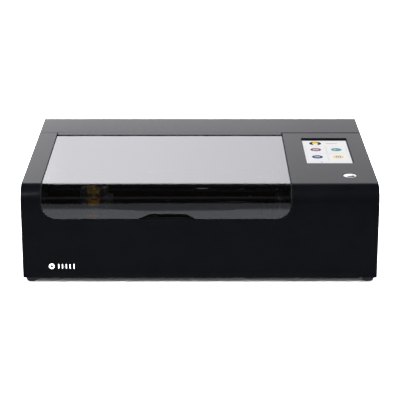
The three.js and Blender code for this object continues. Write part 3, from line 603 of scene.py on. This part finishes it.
flat("icon_c_0", circle(x, y, 10.0), zi, cols["teal"])
flat("icon_c_1", circle(x - 2.6, y, 2.6, 20), zi + 0.08, white)
flat("icon_c_2", rot(rrect(x - 4.4, x + 6.4, y + 0.4, y + 5.2, 2.2), 0.62, x, y), zi + 0.08, cols["red"])
x, y = ui(0.262, 0.705)
flat("icon_d_0", circle(x, y, 10.0), zi, cols["navy"])
flat("icon_d_1", rrect(x - 5.4, x + 5.4, y - 2.6, y + 2.6, 2.5), zi + 0.08, cols["pale"])
x, y = ui(0.729, 0.705)
flat("icon_e_0", circle(x, y, 9.8), zi, cols["yellow"])
flat("icon_e_1", rrect(x - 5.8, x + 5.8, y - 5.6, y + 5.6, 2.4), zi + 0.08, white)
for k in (-1, 0, 1):
    flat(f"icon_e_bar_{k + 1}", rrect(x + 3.6 * k - 0.9, x + 3.6 * k + 0.9, y - 4.2, y + 4.2, 0.5, 2), zi + 0.16, cols["navy"])
x, y = ui(0.656, 0.128)
flat("label_a", rrect(x - 11, x + 11, y - 1.3, y + 1.3, 1.2, 2), zi, cols["grey"])
x, y = ui(0.329, 0.925)
flat("page_dot_a", rrect(x - 2.2, x + 2.2, y - 1.4, y + 1.4, 1.3), zi, cols["blue"])
x, y = ui(0.44, 0.925)
flat("page_dot_b", circle(x, y, 1.2, 16), zi, grey1)

# ------------------------------------------------------------------ generic mark on the front
def on_front(name, pts, mat, th=0.004):
    bm = bmesh.new()
    # pts in (x, z); the y basis has u = z, v = x
    prism_bm(bm, "y", [(z, x) for x, z in pts], -222.5 - th, -222.46)
    return from_bm(name, bm, mat, "machine", smooth=False)


mx, mz = -257.0, 33.6
bm = bmesh.new()
ring_o, ring_i = circle(mz, mx, 4.7, 32), circle(mz, mx, 2.6, 32)
u_, v_, w_ = basis("y")
off_ = Vector((0, SHIFT_Y / 1000.0, 0))
def fv(p, a):
    return bm.verts.new(u_ * (p[0] / 1000) + v_ * (p[1] / 1000) + w_ * (a / 1000) + off_)
ro0, ri0 = [fv(p, -222.46) for p in ring_o], [fv(p, -222.46) for p in ring_i]
ro1, ri1 = [fv(p, -222.504) for p in ring_o], [fv(p, -222.504) for p in ring_i]
for k in range(32):
    j = (k + 1) % 32
    bm.faces.new((ro1[k], ro1[j], ri1[j], ri1[k]))
    bm.faces.new((ro0[k], ro0[j], ro1[j], ro1[k]))
    bm.faces.new((ri0[k], ri1[k], ri1[j], ri0[j]))
    bm.faces.new((ro0[k], ri0[k], ri0[j], ro0[j]))
from_bm("mark_ring", bm, M["print"], "machine", smooth=False)
for i in range(5):
    cx_ = -245.0 + 6.6 * i
    on_front(f"mark_tick_{i}", rrect(cx_ - 0.65, cx_ + 0.65, mz - 4.0, mz + 4.0, 0.6, 3), M["print"])

# ------------------------------------------------------------------ screws
def screw(name, axis, pos, r, h, mat, body, flip=False, drive=3):
    """Button-head screw with a socket, its flat on pos, standing out along the axis (or against it)."""
    prof = [(0, h - 1.1), (r * 0.34, h - 1.1), (r * 0.46, h - 0.55), (r * 0.46, h - 0.02), (r * 0.62, h - 0.05), (r * 0.84, h * 0.72),
            (r * 0.97, h * 0.36), (r, 0.05), (r, -0.2), (0, -0.2)]
    return lathe(name, axis, pos, prof, mat, body, 20, flip, angle=50)


k = 0
for z in (40, 96, 140):
    for x in (-296, 296):
        screw(f"back_screw_{k}", "y", P(x, 222.5, z), 2.9, 1.7, M["screw"], "machine")
        k += 1
for x in (-190, -90, 150, 232):
    screw(f"back_screw_{k}", "y", P(x, 222.5, 149), 2.9, 1.7, M["screw"], "machine")
    k += 1
for i, a in enumerate((45, 135, 225, 315)):
    t = math.radians(a)
    screw(f"collar_screw_{i}", "y", P(40 + 54 * math.cos(t), 225.5, 72 + 54 * math.sin(t)), 2.4, 1.5, M["screw"], "machine")
for s, body_x in ((-1, -306.5), (1, 306.5)):
    for i, (y, z) in enumerate(((-196, 30), (0, 24), (200, 30), (200, 150), (60, 164), (-110, 164))):
        screw(f"side_screw_{'l' if s < 0 else 'r'}_{i}", "x", P(body_x, y, z), 2.6, 0.9, M["screw"], "machine",
              flip=s < 0)
for i, (x, y) in enumerate([(a, b) for a in (-290, -100, 100, 290) for b in (-212, 212) if True] + [(-298, -90), (-298, 90), (298, -60), (298, 90)]):
    screw(f"base_screw_{i}", "z", P(x, y, 12), 2.6, 1.4, M["screw"], "machine", flip=True)
for i, (x, y) in enumerate(((-294, -198), (294, -198), (-294, 198), (294, 198))):
    n = ("foot_front_left", "foot_front_right", "foot_rear_left", "foot_rear_right")[i]
    screw(f"foot_screw_{i}", "z", P(x, y, 3.0), 2.6, 1.4, M["screw_bright"], "machine", flip=True)

# ------------------------------------------------------------------ honeycomb bed, real open cells
def honeycomb():
    x0, x1, y0, y1, z0, z1 = -250.0, 120.0, -190.0, 90.0, 38.2, 45.9
    p = 7.6                          # cell pitch
    a = p / math.sqrt(3)             # side of a cell
    th = 0.55
    bm = bmesh.new()
    segs = set()
    rows = int((y1 - y0) / (1.5 * a)) + 2
    colsn = int((x1 - x0) / p) + 2
    def key(q):
        return (round(q[0], 2), round(q[1], 2))
    for j in range(rows):
        for i in range(colsn):
            cx = x0 + p * i + (p / 2 if j % 2 else 0)
            cy = y0 + 1.5 * a * j
            pts = [(cx + a * math.cos(math.radians(30 + 60 * k)), cy + a * math.sin(math.radians(30 + 60 * k))) for k in range(6)]
            for k in range(3):
                s, e = pts[k], pts[k + 1]
                if all(x0 <= q[0] <= x1 and y0 <= q[1] <= y1 for q in (s, e)):
                    segs.add((key(s), key(e)))
    for s, e in sorted(segs):
        d = Vector((e[0] - s[0], e[1] - s[1]))
        if d.length < 0.5:
            continue
        d.normalize()
        nn = Vector((-d.y, d.x)) * (th / 2)
        q = [(s[0] + nn.x, s[1] + nn.y), (s[0] - nn.x, s[1] - nn.y), (e[0] - nn.x, e[1] - nn.y), (e[0] + nn.x, e[1] + nn.y)]
        lo = [bm.verts.new(P(*c, z0)) for c in q]
        hi = [bm.verts.new(P(*c, z1)) for c in q]
        bm.faces.new(hi)
        bm.faces.new((lo[0], hi[0], hi[3], lo[3]))
        bm.faces.new((lo[1], lo[2], hi[2], hi[1]))
        bm.faces.new(lo[::-1])
        bm.faces.new((lo[0], lo[1], hi[1], hi[0]))
        bm.faces.new((lo[3], hi[3], hi[2], lo[2]))
    o = from_bm("honeycomb_cells", bm, M["comb"], "machine", smooth=False)
    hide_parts("honeycomb")


honeycomb()

# ------------------------------------------------------------------ gantry and head details
def wheel(name, x, y, z, axis, body, r=6.0, w=5.0):
    prof = [(0, -w / 2), (1.6, -w / 2), (1.6, -w / 2 + 0.5), (r * 0.62, -w / 2 + 0.5), (r * 0.66, -w / 2), (r * 0.9, -w / 2), (r, -w / 2 + 1.0),
            (r, w / 2 - 1.0), (r * 0.9, w / 2), (r * 0.66, w / 2), (r * 0.62, w / 2 - 0.5), (1.6, w / 2 - 0.5), (1.6, w / 2), (0, w / 2)]
    return lathe(name, axis, P(x, y, z), prof, M["wheel"], body, 24)


for s, x in (("l", -288), ("r", 151)):
    for i, y in enumerate((-156, -106)):
        screw(f"carriage_screw_{s}_{i}", "z", P(x + (14 if s == "l" else -12), y, 137), 2.6, 1.8, M["screw_bright"], "gantry")
for i, (dx, dz) in enumerate(((-18, 122), (18, 112 + 6), (-18, 143), (18, 146))):
    screw(f"head_screw_{i}", "y", P(HX + dx, -146.6, dz), 2.0, 1.5, M["screw_bright"], "head", flip=True)
for i, (dx, dy) in enumerate(((-19, -133), (19, -133), (-19, -122), (19, -122))):
    wheel(f"head_wheel_{i}", HX + dx, dy + 3, 150.9, "z", "head", 3.6, 1.6)
# knurled adjusting screws of the mirrors
def knob(name, axis, pos, r, h, mat, body, flip=False, teeth=18):
    bm = bmesh.new()
    u, v, w = basis(axis)
    s = -1 if flip else 1
    prev = None
    for rr, a in ((r * 0.86, 0), (r, 0.4), (r, h - 0.4), (r * 0.86, h)):
        ring = []
        for k in range(teeth * 2):
            q = rr * (1 if k % 2 else 0.92)
            t = math.pi * k / teeth
            ring.append(bm.verts.new(pos + w * (s * a / 1000) + u * (q / 1000 * math.cos(t)) + v * (q / 1000 * math.sin(t))))
        if prev:
            for k in range(teeth * 2):
                j = (k + 1) % (teeth * 2)
                bm.faces.new((prev[k], prev[j], ring[j], ring[k]))
        else:
            bm.faces.new(ring)
        prev = ring
    bm.faces.new(prev)
    return from_bm(name, bm, mat, body, smooth=False)


knob("mirror3_knob_a", "x", P(HX + 7.0, -151.4, 140.8), 2.2, 4.6, M["brass"], "head")
knob("mirror3_knob_b", "x", P(HX + 7.0, -151.4, 145.9), 2.2, 4.6, M["brass"], "head")
knob("clamp_knob", "x", P(HX + 16.2, -164.5, 121.5), 4.2, 7.0, M["plastic"], "head")
knob("mirror2_knob_a", "y", P(-295.5, -151, 154.0), 2.1, 5.0, M["brass"], "gantry")
knob("mirror2_knob_b", "y", P(-284.5, -148.2, 154.0), 2.1, 5.0, M["brass"], "gantry")
# knurled ring and lens ring on the barrel
knob("barrel_ring", "z", P(HX, -158, 103.2), 11.35, 4.6, M["orange"], "lens", teeth=40)
lathe("barrel_band", "z", P(HX, -158, 0), [(10.95, 112.6), (11.12, 112.9), (11.12, 114.6), (10.95, 114.9), (10.2, 114.9), (10.2, 112.6), (10.95, 112.6)],
      M["brass"], "lens", 40)
# camera lens on the head
lathe("camera_lens", "y", P(HX + 26, -168.4, 131), [(0, 1.2), (2.0, 1.2), (2.3, 2.6), (3.6, 3.0), (4.6, 3.0), (4.9, 2.6), (4.9, 0), (0, 0)],
      M["plastic_gloss"], "head", 32, flip=True)

for s_, x_, body_, slot_ in (("r", 147.5, "machine", "rail_right"), ("l", -286.5, "machine", "rail_left")):
    y_ = -187.5 if s_ == "r" else -205.0
    lathe(f"lid_rest_post_{s_}", "z", P(x_ - 9.0 if s_ == "r" else x_ + 10.5, y_ - (9.5 if s_ == "r" else 3.0), 0),
          [(0, 112.2), (3.6, 112.2), (4.0, 112.6), (4.0, 115.6), (2.6, 116.2), (2.3, 117.0), (2.3, 139.0), (3.4, 140.0), (3.9, 141.0), (3.9, 147.0), (3.4, 148.0), (0, 148.2)],
          M["steel"], body_, 24, angle=40)
for i, x_ in enumerate((88.5,)):
    screw(f"beam_screw_{i}", "y", P(x_, -142, 136.8), 2.9, 1.9, M["screw_bright"], "gantry", flip=True)

# toothed face of the belts, on the inside of the runs
def belt_teeth(name, axis, a0, a1, c, w0, w1, body):
    bm = bmesh.new()
    n = int((a1 - a0) / 2.0)
    for k in range(n):
        a = a0 + 2.0 * k + 0.5
        if axis == "y":
            box_bm(bm, w0, w1, a, a + 1.0, c + 5.95, c + 6.6)
            box_bm(bm, w0, w1, a, a + 1.0, c - 6.6, c - 5.95)
        else:
            box_bm(bm, a, a + 1.0, c - 6.6, c - 5.95, w0, w1)
            box_bm(bm, a, a + 1.0, c + 5.95, c + 6.6, w0, w1)
    return from_bm(name, bm, M["belt"], body, smooth=False)


belt_teeth("x_belt_teeth", "x", -241, 103, -102, 149.0, 154.6, "gantry")

# light bar on the bulkhead, above the exhaust opening
def diffuser():
    m, nt, b = new_mat("light_bar_diffuser")
    u = coords(nt)
    w = node(nt, "ShaderNodeTexWave", wave_type="BANDS", bands_direction="X")
    w.inputs["Scale"].default_value = 18
    nt.links.new(u, w.inputs["Vector"])
    nt.links.new(ramp(nt, w.outputs["Fac"], [(0.0, (0.30, 0.30, 0.285)), (1.0, (0.36, 0.36, 0.345))]), b.inputs["Base Color"])
    nt.links.new(remap(nt, noise(nt, u, 500, 2), 0.3, 0.7, 0.35, 0.5), b.inputs["Roughness"])
    b.inputs["IOR"].default_value = 1.5
    return m


bm = bmesh.new()
prism_bm(bm, "x", [(117.7, 158), (112.5, 158), (110.5, 160), (110.5, 166), (112.5, 168), (117.7, 168)], -210, 95)
from_bm("light_bar_body", bm, M["alu"], "machine", bevel=0.0003)
bm = bmesh.new()
prism_bm(bm, "x", [(110.6, 161), (109.6, 161.6), (109.6, 164.4), (110.6, 165)], -206, 91)
from_bm("light_bar_lens", bm, diffuser(), "machine", bevel=0.0002)

# ------------------------------------------------------------------ stage: floor, cards, lights
def stage_plane(name, corners, mat):
    me = bpy.data.meshes.new(name)
    me.from_pydata([Vector(c) for c in corners], [], [tuple(range(len(corners)))])
    o = bpy.data.objects.new(name, me)
    bpy.context.scene.collection.objects.link(o)
    me.materials.append(mat)
    return o


fm, fnt, fb = new_mat("floor_pale")
fu = coords(fnt)
fnt.links.new(ramp(fnt, noise(fnt, fu, 3, 3), [(0.3, (0.86, 0.86, 0.86)), (0.7, (0.88, 0.88, 0.88))]), fb.inputs["Base Color"])
fb.inputs["Roughness"].default_value = 0.9
fb.inputs["IOR"].default_value = 1.01
floor = stage_plane("floor", [(-9, -9, 0), (9, -9, 0), (9, 12, 0), (-9, 12, 0)], fm)
floor.visible_glossy = False
floor.visible_transmission = False


def emission_mat(name, strength, ramp_axis=None, stops=None, col=(1, 1, 1)):
    m = bpy.data.materials.new(name)
    m.use_nodes = True
    nt = m.node_tree
    for n in list(nt.nodes):
        nt.nodes.remove(n)
    out = nt.nodes.new("ShaderNodeOutputMaterial")
    e = nt.nodes.new("ShaderNodeEmission")
    e.inputs["Color"].default_value = (*col, 1)
    if stops:
        tc = node(nt, "ShaderNodeTexCoord")
        sp = node(nt, "ShaderNodeSeparateXYZ")
        nt.links.new(tc.outputs["Object"], sp.inputs[0])
        a0, a1 = stops[0][0], stops[-1][0]
        f = remap(nt, sp.outputs[ramp_axis], a0, a1, 0.0, 1.0)
        c = ramp(nt, f, [((p - a0) / (a1 - a0), (v / strength,) * 3) for p, v in stops])
        k = math_node(nt, "MULTIPLY", c, strength)
        nt.links.new(k, e.inputs["Strength"])
    else:
        e.inputs["Strength"].default_value = strength
    nt.links.new(e.outputs[0], out.inputs["Surface"])
    return m


# what the gloss of the object sees in place of the floor: a white table that ends in front
TABLE = 1.0
tm = emission_mat("table_seen_in_gloss", TABLE, 1, [(-0.72, 0.30), (-0.641, 0.34), (-0.638, 0.95), (3.0, 1.0)], (0.94, 0.98, 1.06))
table = stage_plane("table_reflector", [(-1.6, -0.72, -0.002), (1.6, -0.72, -0.002), (1.6, 3.0, -0.002), (-1.6, 3.0, -0.002)], tm)
table.visible_camera = False
table.visible_diffuse = False
table.visible_shadow = False
table.visible_transmission = True

# bright wall of light behind
def wall_mat(name, k, xs, zs):
    m = bpy.data.materials.new(name)
    m.use_nodes = True
    nt = m.node_tree
    for n in list(nt.nodes):
        nt.nodes.remove(n)
    out = nt.nodes.new("ShaderNodeOutputMaterial")
    e = nt.nodes.new("ShaderNodeEmission")
    tc = node(nt, "ShaderNodeTexCoord")
    sp = node(nt, "ShaderNodeSeparateXYZ")
    nt.links.new(tc.outputs["Object"], sp.inputs[0])
    fs = []
    for ax, st in ((0, xs), (2, zs)):
        a0, a1 = st[0][0], st[-1][0]
        fs.append(ramp(nt, remap(nt, sp.outputs[ax], a0, a1, 0.0, 1.0), [((p - a0) / (a1 - a0), (v / 2,) * 3) for p, v in st]))
    e.inputs["Color"].default_value = (0.985, 0.98, 1.03, 1)
    nt.links.new(math_node(nt, "MULTIPLY", math_node(nt, "MULTIPLY", fs[0], fs[1]), 4 * k), e.inputs["Strength"])
    nt.links.new(e.outputs[0], out.inputs["Surface"])
    return m


def hidden_wall(name, corners, mat):
    o = stage_plane(name, corners, mat)
    o.visible_camera = False
    o.visible_diffuse = False
    o.visible_shadow = False
    return o


WALL = 1.55
hidden_wall("back_reflector", [(-2.6, 2.6, 0.02), (2.4, 2.6, 0.02), (2.4, 2.6, 1.3), (-2.6, 2.6, 1.3)],
            wall_mat("back_light", WALL,
                     [(-2.6, 1.5), (-0.78, 1.75), (-0.60, 1.25), (-0.5, 1.14), (-0.2, 1.10), (0.0, 1.05), (0.28, 0.98), (0.42, 0.87), (2.4, 0.83)],
                     [(0.02, 0.9), (0.45, 1.15), (0.87, 1.15), (0.90, 0.90), (0.98, 0.94), (1.08, 1.0), (1.3, 1.0)]))
hidden_wall("back_reflector_high", [(-0.62, 2.6, 1.3), (0.95, 2.6, 1.3), (0.95, 2.6, 2.75), (-0.62, 2.6, 2.75)],
            wall_mat("back_light_high", WALL, [(-0.62, 1.1), (0.95, 0.85)], [(1.3, 1.0), (2.1, 0.95), (2.75, 0.6)]))


for s_ in (-1, 1):
    hidden_wall(f"side_reflector_{'l' if s_ < 0 else 'r'}", [(3.4 * s_, -1.2, 0.02), (3.4 * s_, 2.6, 0.02), (3.4 * s_, 2.6, 1.9), (3.4 * s_, -1.2, 1.9)],
                emission_mat(f"side_light_{'l' if s_ < 0 else 'r'}", 1.2, 2, [(0.02, 0.5), (0.5, 0.9), (1.2, 1.2), (1.9, 0.9)]))
hidden_wall("front_reflector", [(-2.4, -4.6, 0.9), (2.4, -4.6, 0.9), (2.4, -4.6, 2.4), (-2.4, -4.6, 2.4)],
            emission_mat("front_light", 0.5, 2, [(0.9, 0.04), (1.6, 0.10), (2.4, 0.16)]))


def area(name, loc, target, size, power, glossy=True, col=(1, 1, 1)):
    d = bpy.data.lights.new(name, "AREA")
    d.shape = "RECTANGLE"
    d.size, d.size_y = size
    d.energy = power
    d.color = col
    o = bpy.data.objects.new(name, d)
    bpy.context.scene.collection.objects.link(o)
    o.location = loc
    o.rotation_euler = (Vector(target) - Vector(loc)).to_track_quat("-Z", "Y").to_euler()
    o.visible_camera = False
    o.visible_glossy = glossy
    o.visible_transmission = glossy
    return o


area("top_soft", (0, 0.3, 2.6), (0, 0, 0), (5.0, 5.0), 600, glossy=False)
area("front_fill", (0, -2.2, 0.9), (0, 0, 0.0), (2.6, 0.9), 22, glossy=False)
area("left_strip", (-1.05, -1.55, 1.75), (-0.25, -0.2, 0.15), (0.5, 0.5), 100, glossy=True)
area("front_top", (0, -1.9, 2.1), (0, -0.45, 0), (3.0, 1.6), 300, glossy=False)
area("right_strip", (1.15, -1.75, 1.45), (0.3, -0.2, 0.15), (0.45, 0.45), 3, glossy=True)

world = bpy.data.worlds.new("world")
bpy.context.scene.world = world
world.use_nodes = True
wnt = world.node_tree
bg = wnt.nodes["Background"]
bg.inputs["Color"].default_value = (1, 1, 1, 1)
wlp = node(wnt, "ShaderNodeLightPath")
wnt.links.new(remap(wnt, wlp.outputs["Is Camera Ray"], 0.0, 1.0, 0.02, 1.0), bg.inputs["Strength"])
bpy.context.scene.view_settings.view_transform = "Standard"
bpy.context.scene.view_settings.look = "None"
